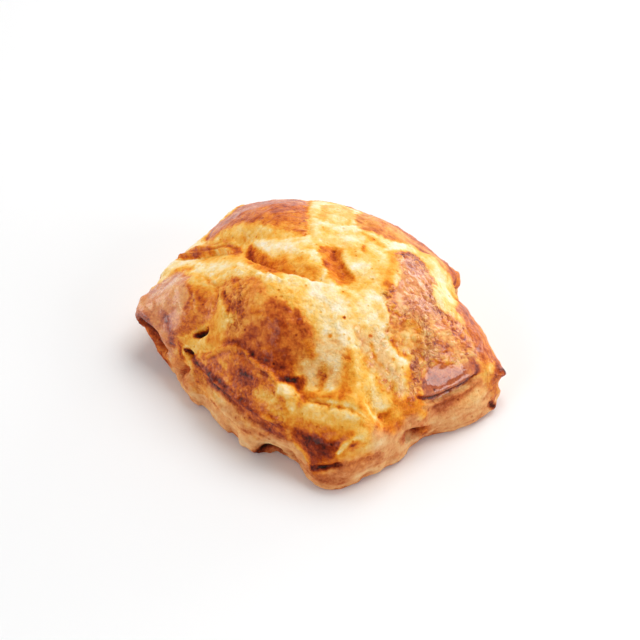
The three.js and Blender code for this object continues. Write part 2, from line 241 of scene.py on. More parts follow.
# Washed areas, each laid over those before it: how brown, how much browner at the edge, how
# glossy, how wrinkled, where, and how soft and how ragged the edge is.
WASHED_AREAS = [
    (0.28, 0.00, 0.10, 0.12, LEFT_GOLD, 2.5, 1.5),
    (0.24, 0.10, 0.30, 0.05, BACK_GOLD, 0.8, 1.0),
    (0.48, 0.04, 0.30, 0.06, BACK_BAND, 1.2, 1.2),
    (0.55, 0.00, 0.50, 0.20, RIGHT_BAND, 1.0, 1.0),
    (0.30, 0.00, 0.20, 0.05, HUMP, 1.2, 0.6),
    (0.62, 0.02, 0.50, 0.06, HUMP_BROWN, 1.6, 1.4),
    (0.40, 0.08, 0.30, 0.10, TONGUE, 0.6, 0.6),
    (0.36, 0.00, 0.10, 0.05, GOLD_LIGHT, 1.6, 1.6),
    (0.44, 0.04, 0.05, 0.05, GOLD_CORE, 1.0, 0.9),
    (0.50, 0.00, 0.10, 0.04, DIMPLE, 0.8, 0.9),
    (0.46, 0.03, 0.15, 0.20, MOUND, 0.9, 0.9),
    (0.66, 0.02, 0.20, 0.05, MOUND_BROWN, 1.2, 1.2),
    (0.50, 0.03, 0.40, 0.20, CORNER, 0.9, 0.9),
    (0.54, 0.00, 1.00, 0.02, CORNER_GLOSS, 2.0, 1.6),
    (0.56, 0.02, 0.35, 0.24, STRIP, 0.7, 0.7),
    (0.30, 0.00, 0.15, 0.06, LOBE, 1.4, 0.9),
    (0.39, 0.08, 0.70, 0.55, PATCH, 0.8, 1.6),
    (0.53, 0.00, 1.00, 0.30, PATCH_PINK, 1.2, 1.4),
    (0.34, 0.08, 0.20, 0.35, PATCH_YELLOW, 0.8, 1.2),
    (0.23, 0.04, 0.90, 0.30, SMALL_PATCH, 1.8, 1.8),
    (0.62, 0.06, 1.00, 0.00, GLOSS, 0.4, 0.4),
    (0.22, 0.00, 0.10, 0.30, WRINKLED, 2.5, 1.2)]
# Washed areas painted in the pinker shades of the walls' dry dough: a painted sheen of the glaze.
PINK_SHEEN_AREAS = [
    (BACK_BAND, 0.3), (PATCH, 0.55), (PATCH_YELLOW, 0.3), (PATCH_PINK, 0.7), (SMALL_PATCH, 0.7),
    (GLOSS, 0.7), (CORNER_GLOSS, 0.7), (WRINKLED, 0.6), (MOUND, 0.2)]

# Darker and paler marks: how brown, where, half width, and the share of it that fades, which is
# all of it where none is given.
TOP_MARKS = [
    # The hump and the back.
    (0.4, [(-3.5, 40, 21), (1, 40, 21), (5, 38, 21.5)], 5), (0.62, BACK_RIM, 5.5, 0.6),
    (0.38, [(-8.5, 17.5, 32.3), (-4.5, 17, 33.3)], 3),
    (0.4, [(11.5, 15.5, 32), (14, 13.5, 32), (16.5, 11, 32)], 1.9),
    # The TONGUE_EDGE mark is a painted shadow under the tongue's overhanging edge.
    (0.66, [(11.3, 7.3, 33.5), (11.7, 9.5, 33.3)], 1.4), (0.64, TONGUE_EDGE, 0.6),
    (0.58, TONGUE_RIDGE, 0.5),
    (0.36, [(-27.5, 21, 24), (-24.5, 20.7, 25.5), (-21.5, 19.7, 27)], 1.5),
    (0.44, [(-38, 15.5, 19), (-35, 14.5, 21.5), (-33, 12.5, 23)], 2.8),
    (0.3, [(-30, 17.5, 24), (-24, 11.5, 27), (-20, 8, 29.5)], 3.5, 0.8),
    (0.4, [(-27, 16, 24.5), (-23, 13, 26.5), (-19.5, 11, 28)], 1.3),
    (0.56, [(-16.5, 12.5, 28.5), (-14.5, 9.5, 29.5), (-12.5, 5, 30.5)], 2.2),
    (0.64, [(-17.8, 14.5, 28.5), (-17.5, 11.5, 28.3), (-16.7, 7, 29.5)], 1.5),
    (0.6, [(-15, 6, 30), (-12.5, 0.5, 33), (-10.5, -2.5, 34)], 2.6),
    (0.44, [(-5, 3, 34), (-2.5, -0.5, 34.5), (-0.5, -3, 35)], 2.5),
    (0.2, [(-1.7, 14, 33.5), (-1.3, 20, 33)], 1.8),
    (0.24, [(-4.5, -4, 34.5), (-1, -5.5, 35), (2.5, -6.5, 34.5)], 1.5), (0.34, LIP[:4], 1),
    (0.1, LIP[3:], 0.9, 0.7),
    # The middle and the front.
    (0.2, [(9, 5, 33), (14, 3, 33), (16, -2, 32)], 4),
    (0.36, [(-10, -8.5, 36), (-8.3, -11.5, 35.5)], 3.2),
    (0.28, [(6, -9, 33.5), (8.5, -11.5, 33)], 3),
    (0.28, [(14.5, -6, 32.7), (16, -7.5, 32.3)], 1.6),
    (0.27, [(14.5, -11, 31.3), (15.5, -13.5, 30.3)], 2.2),
    (0.44, [(19, 8, 31.5), (18.7, 4.5, 32), (18.3, 1, 32.5), (17.5, -3, 32.3)], 2.8),
    (0.44, [(18.5, 8.3, 31.5), (20.5, 7.8, 31)], 1.6, 0.9),
    (0.53, [(3, -4.3, 34.2), (5, -6, 34)], 2.2), (0.08, [(-3, -14, 33.7), (-0.7, -16.3, 33)], 2.2),
    (0.06, [(11.5, -14.5, 31), (12, -17.5, 29.5)], 3.4),
    (0.6, [(4, 7.5, 33), (4.5, 5, 33.5)], 1.3), (0.8, [(4, 7.6, 33)], 0.7),
    (0.7, [(6.5, -16.5, 32)], 0.5, 0.6), (0.5, [(-4, -9, 35.5)], 0.6, 0.8),
    (0.5, [(3, -21, 30)], 0.7, 0.8), (0.46, [(7.5, -21.5, 29.5)], 0.7, 0.8),
    (0.34, [(-3, -32, 20), (2, -32.7, 21), (7, -33.7, 21.5), (11, -35.5, 20)], 2.8),
    (0.62, [(-2, -31.5, 20), (1.5, -32.5, 21), (4, -33, 21.5)], 2),
    (0.38, [(11.5, -24.5, 25.5), (11.3, -29.5, 23.3), (11, -33, 21.5)], 2.8),
    (0.4, [(18, -27.3, 20), (18.7, -29.5, 18)], 2),
    (0.4, [(14.5, -27.5, 22.5), (16, -29.5, 20.5)], 2),
    (0.12, [(11.5, -4, 33), (11.5, -7, 33)], 2.2), (0.08, [(-6.5, -7.7, 36), (-4, -8, 35.7)], 2),
    (0.4, [(8, -27, 26), (8.3, -30.5, 23.5), (7.5, -33, 22.5)], 2.2), (0.46, STREAK, 3),
    (0.62, [(5.5, -33.5, 22)], 1.2), (0.42, SHORT_STREAK, 2.8),
    (0.6, [(-3, -30.5, 20), (-1, -32, 20.5)], 2),
    (0.42, [(13, -21, 27.3), (14, -23.5, 24.5), (15.5, -24.5, 23.5), (17, -25.7, 22)], 0.8),
    (0.56, [(12.8, -19.3, 28.5)], 0.7, 0.9), (0.54, [(16.3, -27.3, 21)], 0.8, 0.9),
    (0.5, [(18.5, -23, 24)], 0.7, 0.9), (0.24, [(-1, 11, 33.5), (3, 12, 33.5)], 2),
    (0.55, [(0.5, 8, 33.5), (1.2, 4.5, 34)], 1.8), (0.32, [(8, 9.3, 33.3), (9, 5.5, 33.3)], 2),
    # The corner and the mound.
    (0.44, [(-26.5, 0, 26.5), (-26, -5, 25), (-26, -9.5, 22), (-25, -13, 21)], 4.5, 0.8),
    (0.68, [(-33, 4, 24), (-32, 1.5, 23.5), (-32.5, 0.5, 22.5), (-34, -0.5, 20.5)], 0.9),
    (0.2, [(-31.5, 5.5, 25), (-29.5, 3.7, 25.7), (-27, 3, 26)], 3),
    (0.62, [(-30.7, 1.3, 24), (-29.7, -1, 24)], 0.9),
    # Painted shade on the corner's lower right side, where it falls away to the recess.
    (0.7, [(-39, 1, 16), (-37.5, -2, 14.5), (-37.5, -4.5, 12)], 2),
    (0.57, [(-23, -0.5, 29), (-21, -1.5, 31), (-20.5, -5.5, 31.5)], 1.5),
    (0.62, [(-23.5, -4, 28.5), (-22.5, -8, 28.5), (-20, -10, 30)], 2.2),
    (0.56, [(-28, -11, 19.5), (-25.5, -12.5, 21.5)], 2.2), (0.57, [(-17, -5, 33.5)], 1.6),
    (0.58, [(-22.5, -9, 28), (-18.5, -12.5, 30)], 1.2),
    (0.58, [(-16, -13.5, 31.5), (-14.5, -14.5, 31.5)], 1.8),
    (0.7, [(-35.5, -6, 13), (-34.5, -7.5, 11)], 2.4),
    (0.54, [(-3, -21.5, 28), (-1.5, -23.5, 26)], 2),
    (0.66, [(-23, -15, 22), (-19.5, -17, 23.8), (-17, -20, 23.8), (-13.5, -23, 24)], 2.6),
    (0.64, [(-12, -24.5, 23.5), (-8.5, -26.5, 22.5)], 2), (0.6, [(-12.5, -21.5, 25.5)], 2.6),
    (0.5, [(-6.3, -24.7, 24)], 1.8), (0.88, [(-16.6, -20.6, 23.6)], 1.7, 0.9),
    (0.78, [(-16.3, -17.7, 26.5)], 1.4), (0.8, [(-8.7, -25, 23.3)], 1.6),
    (0.8, [(-4.5, -18, 32)], 1.2, 0.5), (0.66, [(-4.5, -18, 32)], 0.5, 0.8),
    # The dark middles of ALMOND and PINHOLE and the CAVITY mark are painted shade in those hollows.
    (0.76, [(-8, -18.5, 31)], 1.2), (0.34, ALMOND, 1.8, 0.6), (0.84, ALMOND, 0.9, 0.6),
    (0.2, PINHOLE, 1.7, 0.6), (0.86, PINHOLE, 0.9, 0.8), (0.64, CAVITY, 2.2),
    # The slit beside the cavity: browned, with painted shade darkest along its middle.
    (0.82, [(-9.5, -28, 21.5), (-5.3, -27.5, 21)], 2.6),
    (0.93, [(-8, -27.4, 21.7), (-4.8, -26.6, 21.5)], 0.8, 0.8),
    # The strip and the lobe.
    (0.52, RIDGE, 1, 0.9), (0.84, STRIP_EDGE[:5], 2, 0.9),
    (0.76, [(-29, -14, 12.5), (-26, -18, 13), (-23, -21.5, 14)], 2),
    (0.44, [(-30.5, -11, 13.5), (-28, -14, 15)], 1.2, 0.8),
    (0.46, [(-24, -17.5, 18), (-22.5, -19.5, 18)], 1.2, 0.9),
    (0.77, [(-18.3, -23.7, 19.7), (-16, -26.3, 19)], 3, 0.9),
    (0.36, [(-14, -29, 18.2), (-11, -31.3, 17.3), (-8.7, -33.2, 15.8)], 2.6, 0.9),
    (0.5, [(-6.5, -34.5, 15.3), (-2, -37, 15.6), (3, -39.3, 15.8), (8, -40.2, 15.8)], 2.2),
    (0.5, LOBE_SEAM, 0.9),
    (0.68, [(-5.5, -36.6, 13.5), (-3, -38.5, 13.7), (0, -40, 13.5), (3, -40.9, 13.5),
            (8, -41.3, 14)], 2.9),
    (0.76, [(-5.3, -37.3, 11.5), (-2, -40.5, 10), (1, -42, 10), (4.7, -42.2, 11.8)], 3.1, 0.9),
    (0.88, [(-3, -38.5, 12.3), (-1, -39.7, 12.3), (2, -41.2, 12), (4.5, -41.8, 12.3)], 2.6),
    (0.24, LOBE_RIDGE, 1.1), (0.94, [(0, -41, 11), (3, -42.3, 10.8)], 1.6),
    (0.46, [(10.5, -35.7, 20.5), (12.3, -36.8, 18.8), (13.5, -37.4, 17)], 1.8, 0.9),
    (0.44, [(9.5, -38.5, 18), (12, -38.8, 16.5)], 1.8),
    (0.3, [(1, -36.5, 18.5), (4.5, -38, 18), (8, -38.5, 18)], 2.2),
    (0.5, [(14.7, -37, 15.3), (16.5, -36.2, 14), (18.3, -35.5, 12.3)], 2),
    (0.4, [(-10.7, -31.3, 17.5), (-8.7, -33, 16)], 2.2),
    (0.15, [(-9, -29.5, 20.5), (-6.5, -31, 20), (-6.7, -32.5, 17.7)], 2.2, 0.9),
    # The right side.
    (0.62, [(29, -19.5, 20), (33, -18.5, 18)], 1.6), (0.62, RIGHT_RIM, 4.6, 0.8),
    (0.57, [(21.5, 9, 30.5), (23.5, 10.5, 29.5), (26, 9, 28.3)], 3, 0.9),
    (0.54, [(17.5, -4.5, 32), (18.3, -8.5, 31.3), (18.3, -11, 30.5)], 2.4, 0.9),
    (0.44, [(17.5, -11.5, 30.5), (20, -12.5, 29), (22.5, -13.5, 27.5), (25, -14.5, 26)], 1.4, 0.9),
    (0.5, [(18, -18.5, 26.5), (19.5, -20.5, 24.5), (22.5, -20.5, 22.5)], 1.4, 0.9),
    (0.52, [(29, -15.5, 23), (32.5, -16.5, 20)], 2.6),
    (0.56, [(32, -8, 23.5), (34, -11, 22)], 1.5),
    (0.58, [(33, -9.5, 21.7), (36.5, -11.7, 19)], 4.2),
    (0.72, [(38.5, -15, 15.5), (40, -16, 13.7)], 2.2),
    (0.24, [(42.3, -15.5, 11), (43.8, -13, 12)], 2.8),
    (0.44, [(22, -24, 20), (23, -25.5, 18.5), (24, -27, 16.5), (25, -28, 14.5)], 3, 0.8),
    (0.5, [(21.5, -31.3, 14.5), (24.5, -30, 13.5), (26.5, -29, 11)], 2.6),
    (0.56, [(17.5, -34.5, 15.3), (19.5, -32.5, 15), (22, -29.5, 15.3)], 3.2, 0.6),
    # HOLLOW_SIDE is painted shade on the right side of the hollow.
    (0.28, HOLLOW[:3], 2.2, 0.9), (0.5, HOLLOW_SIDE, 2.6), (0.5, HOLLOW[3:], 2),
    (0.97, [(47, -12.2, 9)], 1.7, 0.8), (0.36, [(25.3, -19.5, 21.5), (25.7, -22.5, 18.5)], 2),
    (0.86, GLOSS_EDGE, 0.9, 0.8)]
WALL_MARKS = [
    (0.7, [(-17.5, -29.5, 12), (-13, -33.2, 11), (-9, -35.5, 10)], 2.6, 0.9),
    # Painted shade in the recess under the left corner, over the browned underside seen there.
    (0.72, RECESS, 5, 0.4),
    (0.82, [(-45, 3.5, 10.5), (-42, 0.5, 9), (-39.7, -2.8, 7.5)], 2.6, 0.8),
    (0.15, [(-43.5, 2.2, 11.7), (-41, -0.6, 10.6), (-39, -3.6, 8.5), (-38.5, -4.6, 6)], 0.7, 0.6),
    (0.58, [(-38, -5, 8), (-35, -9, 7), (-33, -12, 6)], 4, 0.8),
    (0.8, [(-28, -17, 11), (-25, -21, 11.3), (-22, -24, 11.3), (-19, -27.5, 11)], 2.2),
    (0.28, [(12.5, -39.5, 13), (15, -38.7, 12)], 3),
    (0.6, [(-41.5, -1, 5.5), (-40, -3.5, 5)], 1.6),
    # Painted shade in the hollow at the foot, over the browned base seen in it.
    (0.8, [(-15, -33, 0.8), (-12, -33, 2), (-9, -34, 0.8)], 1.8, 0.7),
    *[(0.58, run, 0.8) for run in WALL_CRACKS],
    (0.64, [(-1.5, -42, 8), (2, -43.5, 8), (9, -43, 8), (14, -40, 8)], 4, 0.9),
    (0.66, [(-4, -41.5, 3.5), (1, -44, 4), (7, -44.5, 4)], 3),
    (0.56, [(24, -31.5, 11), (28.5, -28, 10), (32.5, -25, 9)], 3),
    # Painted shade in the slit of the front wall.
    (0.92, [(-2, -42.5, 6), (1, -43.5, 7.3), (4, -43.7, 8)], 1.1, 0.8),
    (0.66, [(29, -25, 10.5), (33, -23, 10.5), (38, -20, 10.5)], 2.2, 0.9),
    (0.3, [(29, -24.8, 11.6), (35, -21.3, 11.6), (39, -18.5, 11.7)], 0.5, 0.8),
    (0.36, [(42, -16.5, 9.5), (44.5, -14.3, 10.3)], 3.2),
    # The NOTCH mark and the next two are painted shade in the notch under its thin lip.
    (0.64, [(38, -18.5, 11.3), (40.5, -17.3, 11)], 2.2), (0.74, NOTCH, 3, 0.7),
    (0.9, [(22, -33, 8), (24, -31.5, 7.5)], 1.5, 0.8),
    (0.62, [(25.5, -29.7, 6), (26.7, -28.5, 5)], 1.3, 0.8), (0.97, [(46.2, -12.5, 9.3)], 2, 0.8),
    (0.9, [(44.5, -17.2, 2.2), (43.5, -18, 4)], 1.6, 0.9)]


# ---- the skin as arrays


def solid_arrays(node):
    """Corners in mm and triangles of a CAD node, with the corners of its faces joined."""
    joined = bmesh.new()
    joined.from_mesh(node.data)
    bmesh.ops.remove_doubles(joined, verts=joined.verts, dist=0.001 * MM)
    points = np.array([corner.co for corner in joined.verts]) / MM
    triangles = np.array([[corner.index for corner in face.verts] for face in joined.faces])
    joined.free()
    return points, triangles


def subdivided(points, triangles):
    """One round of Loop subdivision of a closed triangle mesh."""
    sides = np.sort(triangles[:, [[0, 1], [1, 2], [2, 0]]].reshape(-1, 2), axis=1)
    edges, side_edge = np.unique(sides, axis=0, return_inverse=True)
    side_edge = side_edge.reshape(-1, 3)
    across = np.zeros((len(edges), 3))
    np.add.at(across, side_edge, points[triangles[:, [2, 0, 1]]])
    middles = 0.375 * points[edges].sum(axis=1) + 0.125 * across
    valence = np.bincount(edges.ravel())[:, None]
    ring = np.zeros_like(points)
    np.add.at(ring, edges, points[edges[:, ::-1]])
    share = 0.625 - (0.375 + 0.25 * np.cos(2 * np.pi / valence)) ** 2
    moved = (1 - share) * points + share * ring / valence
    a, b, c = triangles.T
    ab, bc, ca = side_edge.T + len(points)
    parts = [(a, ab, ca), (ab, b, bc), (ca, bc, c), (ab, bc, ca)]
    return np.vstack([moved, middles]), np.vstack([np.column_stack(part) for part in parts])


def outward(points, triangles):
    """Unit normals of the corners of a closed triangle mesh."""
    a, b, c = points[triangles].transpose(1, 0, 2)
    facing = np.cross(b - a, c - a)
    normals = np.zeros_like(points)
    for corner in triangles.T:
        np.add.at(normals, corner, facing)
    return normals / np.linalg.norm(normals, axis=1)[:, None]


def smoothstep(low, high, value):
    t = np.clip((value - low) / (high - low), 0, 1)
    return t * t * (3 - 2 * t)


def curve_through(run, closed=False):
    """A Catmull-Rom curve through given points, sampled every RUN_STEP."""
    run = np.array(run, float)
    if len(run) == 1:
        return run
    knots = np.vstack([run[-1], run, run[:2]]) if closed else np.vstack([run[0], run, run[-1]])
    samples = []
    for before, start, end, after in zip(knots, knots[1:], knots[2:], knots[3:]):
        steps = max(2, round(np.linalg.norm(end - start) / RUN_STEP))
        t = np.arange(steps)[:, None] / steps
        samples.append(0.5 * (2 * start + (end - before) * t
                              + (2 * before - 5 * start + 4 * end - after) * t**2
                              + (3 * start - before - 3 * end + after) * t**3))
    return np.vstack(samples + ([] if closed else [run[-1:]]))


class Skin:
    """The skin at rest, how far each point is moved from there, and its painted layers."""

    def __init__(self, points, triangles):
        self.rest = points
        self.triangles = triangles
        self.out = outward(points, triangles)
        self.shift = np.zeros_like(points)
        self.layers = {}
        self.tree = BVHTree.FromPolygons(points.tolist(), triangles.tolist())
        # How the edges of areas, folds and marks wander.
        self.rag = 0.55 * self.grain(1.3, seed=1) + 0.8 * self.grain(4.5, seed=2)

    def grain(self, size, octaves=3, seed=0, stretch=(1, 1, 1)):
        """Noise of about -1 to 1 whose lumps are size mm across, longer where stretch is more."""
        places = self.rest / (size * np.array(stretch)) + SEED_STEP * seed
        return np.array([noise.fractal(place, 0.8, 2.1, octaves) for place in places.tolist()])

    def smoothed(self, values, rounds):
        """Values averaged with those of the neighbouring points, as often as rounds."""
        start, end = self.triangles[:, [0, 1, 2]].ravel(), self.triangles[:, [1, 2, 0]].ravel()
        counts = np.bincount(end)
        for _ in range(rounds):
            values = 0.5 * (values + np.bincount(end, weights=values[start]) / counts)
        return values

    def hollowness(self, rounds):
        """How deep each moved point lies under its surroundings, in mm."""
        places = self.rest + self.shift
        around = np.column_stack([self.smoothed(axis, rounds) for axis in places.T])
        return np.einsum("ij,ij->i", around - places, outward(places, self.triangles))

    def on_skin(self, run):
        return np.array([self.tree.find_nearest(place)[0] for place in curve_through(run).tolist()])

    def near_run(self, run, reach):
        """The points within reach of a curve: their numbers, distance, signed distance to the
        right of it seen from outside, and share of the way along it."""
        samples = self.on_skin(run)
        inside = (self.rest > samples.min(0) - reach) & (self.rest < samples.max(0) + reach)
        near = np.flatnonzero(inside.all(axis=1))
        steps = self.rest[near, None] - samples[None]
        distances = np.linalg.norm(steps, axis=2)
        nearest = distances.argmin(axis=1)
        distance = distances[np.arange(len(near)), nearest]
        if len(samples) == 1:
            return near, distance, distance, np.full(len(near), 0.5)
        ahead = np.gradient(samples, axis=0)[nearest]
        right = np.cross(ahead, self.out[near])
        right /= np.linalg.norm(right, axis=1)[:, None]
        across = np.einsum("ij,ij->i", steps[np.arange(len(near)), nearest], right)
        return near, distance, across, nearest / (len(samples) - 1)

    def stroke(self, run, width, soft=1, rag=0.5):
        """1 along a curve on the skin, fading to 0 at width from it over a share soft of width."""
        mask = np.zeros(len(self.rest))
        near, distance, _, _ = self.near_run(run, 1.6 * width + 2 * rag)
        distance = distance + rag * self.rag[near]
        mask[near] = smoothstep(width, width * (1 - soft), distance)
        return mask

    def depth_inside(self, outline):
        """How far each point of the top is inside an outline seen from above, in mm."""
        edge = curve_through(outline, closed=True)
        plan = self.rest[:, :2]
        around = (plan > edge.min(0) - OUTLINE_REACH) & (plan < edge.max(0) + OUTLINE_REACH)
        near = np.flatnonzero(around.all(axis=1) & (self.out[:, 2] > 0.05))
        x, y = plan[near].T
        (x0, y0), (x1, y1) = edge.T[..., None], np.roll(edge, -1, axis=0).T[..., None]
        crossed = ((y0 > y) != (y1 > y)) & (x < (x1 - x0) * (y - y0) / (y1 - y0 + 1e-12) + x0)
        inside = crossed.sum(axis=0) % 2 == 1
        depth = np.full(len(plan), -OUTLINE_REACH)
        depth[near] = np.hypot(x - x0, y - y0).min(axis=0) * np.where(inside, 1, -1)
        return depth

    def area(self, outline, soft=1.0, rag=0.8):
        """1 inside an outline on the top, fading to 0 over soft mm on both sides of its edge."""
        return smoothstep(-soft, soft, self.depth_inside(outline) - rag * self.rag)

    def paint(self, layer, value, mask):
        self.layers[layer] += (value - self.layers[layer]) * mask

    def lift(self, height):
        """Moves every point out by height, an array of mm."""
        self.shift += height[:, None] * self.out

    def seam(self, outline, depth, roundness):
        """Sinks the edge of an outline, so that its inside stands like a cushion."""
        inside = self.depth_inside(outline) - 0.3 * self.rag
        self.lift(-depth * np.exp(-np.where(inside > 0, inside / roundness, -inside / 0.9)))

    def fold(self, run, offsets, heights, reach_rag=0.25, ends=0.15):
        """Moves the skin by the same cross-section all along a curve: heights at offsets to the
        right of it (below it, on a wall with the curve running to the right)."""
        reach = max(abs(offsets[0]), abs(offsets[-1]))
        near, distance, across, share = self.near_run(run, 1.3 * reach)
        beyond = np.sqrt(np.maximum(distance**2 - across**2, 0))
        along = smoothstep(0, ends, share) * smoothstep(1, 1 - ends, share)
        fade = along * smoothstep(FOLD_END, 0, beyond)
        across = across + reach_rag * self.rag[near]
        offsets, heights = np.array(offsets, float), np.array(heights, float)
        part = np.clip(np.searchsorted(offsets, across) - 1, 0, len(offsets) - 2)
        t = smoothstep(offsets[part], offsets[part + 1], across)
        rise = heights[part] + (heights[part + 1] - heights[part]) * t
        self.shift[near] += (fade * rise)[:, None] * self.out[near]

    def dent(self, run, width, depth, ends=0.3):
        """A rounded hollow along a curve (a swelling if depth is negative), width mm to where it
        is nearly gone."""
        near, distance, _, share = self.near_run(run, 1.6 * width)
        taper = 1
        if len(run) > 1:
            taper = smoothstep(0, ends, share + 0.02) * smoothstep(1, 1 - ends, share - 0.02)
        fall = depth * taper * np.exp(-((1.6 * distance / width) ** 2))
        self.shift[near] -= fall[:, None] * self.out[near]

    def lay_plies(self, run, mask, strength):
        """Makes the fine lines of the dough run along a curve, over a mask. They follow the layer
        "ply", a distance in mm across them, and fade out where two directions meet."""
        near, _, across, _ = self.near_run(run, PLY_REACH)
        plies = self.layers["plies"] * smoothstep(0.25, 0, mask)
        self.layers["plies"] = plies + strength * smoothstep(0.25, 0.7, mask)
        inside = mask[near] > 0.25
        self.layers["ply"][near[inside]] = across[inside]

    def blisters(self, mask, spacing, sizes, seed):
        """Round bubbles on a mask, at least spacing mm apart, with radii between the two sizes."""
        random = np.random.default_rng(seed)
        chosen = []
        for place in self.rest[random.permutation(np.flatnonzero(mask > 0.5))]:
            if not chosen or np.linalg.norm(np.array(chosen) - place, axis=1).min() > spacing:
                chosen.append(place)
        dome = np.zeros(len(self.rest))
        for place in chosen:
            radius = random.uniform(*sizes)
            near = np.flatnonzero((np.abs(self.rest - place) < 2 * radius).all(axis=1))
            share = np.linalg.norm(self.rest[near] - place, axis=1) / radius + 0.25 * self.rag[near]
            ditch = 0.5 * np.exp(-((share - 1.25) / 0.3) ** 2)
            bubble = np.sqrt(np.maximum(1 - share**2, 0)) - ditch
            dome[near] = np.maximum(dome[near], 0) + random.uniform(0.15, 0.42) * radius * bubble
        self.lift(dome)


def make_skin():
    points, triangles = solid_arrays(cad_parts["scone"])
    for _ in range(SUBDIVISIONS):
        points, triangles = subdivided(points, triangles)
    return Skin(points, triangles)


# ---- relief


def puff_masses(skin):
    for outline, depth, roundness in [
            (HUMP, 0.6, 2.5), (MOUND, 0.15, 2.2), (CORNER, 0.15, 1.6), (LOBE, 0.25, 2),
            (PATCH, 0.2, 0.8), (TONGUE, 0.2, 0.8), (BACK_GOLD, 0.15, 1)]:
        skin.seam(outline, depth, roundness)
    skin.dent([(14.5, -38.7, 12.5)], 6.5, -0.9)
    skin.dent([(-10, -29.3, 20.5), (-6, -31.3, 19.3)], 3, -1)


def roughen(skin, top, wall, base, torn):
    """Undulation all over, strata of the walls, torn crumb and shrunk glaze."""
    matt = 1 - 0.75 * skin.layers["glaze"]
    veins = np.abs(skin.grain(2.8, octaves=4, seed=8)) - 0.3
    wrinkled = skin.layers["wrinkle"] * (0.2 + smoothstep(-0.4, 0.4, skin.grain(7, seed=10)))
    skin.lift(0.35 * skin.grain(9, seed=3) * (top + wall))
    skin.lift(0.3 * skin.grain(3.2, seed=4) * (top + wall) * matt)
    skin.lift(0.25 * skin.grain(1.5, seed=5, stretch=(6, 6, 1)) * wall)
    skin.lift(0.6 * skin.grain(1.6, octaves=4, seed=6) * torn)
    skin.lift(1.4 * veins * wrinkled)
    skin.lift(0.13 * skin.grain(1.2, seed=9) * (1 - base) * matt)
    # The base only goes in, so that the scone rests on its flat foot.
    skin.lift(0.1 * (skin.grain(4, seed=7) - 1) * base)


def raise_bubbles(skin):
    skin.blisters(skin.area(PATCH, 0.5, 0.5), 3, (0.5, 1), seed=5)
    skin.blisters(skin.area(SMALL_PATCH, 0.5, 0.5), 3.4, (0.6, 1), seed=6)
    skin.blisters(skin.stroke(MOUND_BUBBLES, 4.5, 0.3), 2.2, (0.5, 1.1), seed=7)
    skin.blisters(skin.area(STRIP, 0.5, 0.5), 4.2, (0.5, 0.9), seed=8)


def lay_plies(skin, top, base):
    """Lines of the layered dough: level on the walls, along the rims and folds of the top."""
    skin.layers["ply"] = skin.rest[:, 2] + 0.3 * skin.rest[:, 1] + 0.9 * skin.grain(9, seed=30)
    skin.layers["plies"] = (0.5 - 0.3 * top) * (1 - base)
    for strength, run, mask in [
            (0.6, [(-33, 22, 20), (-27, 30, 24), (-18, 37, 25), (-8, 40, 24), (0, 40, 24)],
             skin.area(HUMP, 1.5, 0.5)),
            (1, RIGHT_RIM, skin.area(RIGHT_BAND, 1.5, 0.5)),
            (0.8, BACK_RIM, skin.area(BACK_BAND, 1.5, 0.5)),
            (0.7, [(-6, -20, 29), (1, -20.5, 30), (9, -23, 28)], skin.area(WRINKLED, 2.5, 1.2)),
            (0.5, STRIP_EDGE, skin.area(STRIP, 1.5, 0.5)),
            (0.3, LOBE_SEAM, skin.area(LOBE, 1.5, 0.5))]:
        skin.lay_plies(run, mask, strength)
    skin.layers["ply"] += 0.5 * skin.grain(3, seed=31)
    skin.layers["plies"] *= 0.15 + smoothstep(-0.3, 0.5, skin.grain(5, seed=32))


# ---- browning and painted shade


def glaze_areas(skin):
    for bake_and_shade, edge, glaze, wrinkle, outline, soft, rag in WASHED_AREAS:
        inside = skin.depth_inside(outline) - rag * skin.rag
        mask = smoothstep(-soft, soft, inside)
        skin.paint("bake_and_shade", bake_and_shade + edge * np.exp(-((inside - 0.8) / 1.1) ** 2), mask)
        skin.paint("glaze", glaze, mask)
        skin.paint("wrinkle", wrinkle, mask)
        skin.paint("dry", 0, mask)


def paint_pink_sheen(skin):
    # Painted sheen: these washed areas get the pinker shades of the dry dough.
    for outline, dry in PINK_SHEEN_AREAS:
        skin.paint("dry", dry, skin.area(outline, 1.5, 1.4))


def brown_and_shade_walls(skin):
    for bake_and_shade, *mark in WALL_MARKS:
        skin.paint("bake_and_shade", bake_and_shade, skin.stroke(*mark, rag=0.3))
    # Painted shade: the recess and the notch take the washed ramp's amber, not the walls' dry tan.
    skin.paint("dry", 0.3, skin.stroke(RECESS, 5, 0.4, rag=0.3))
    skin.paint("dry", 0.2, skin.stroke(NOTCH[1:], 2.5, 0.8, rag=0.3))


def brown_and_shade_top(skin):
    for bake_and_shade, *mark in TOP_MARKS:
        mask = skin.stroke(*mark, rag=0.4)
        skin.paint("bake_and_shade", bake_and_shade, mask)
        skin.paint("dry", 0, mask)


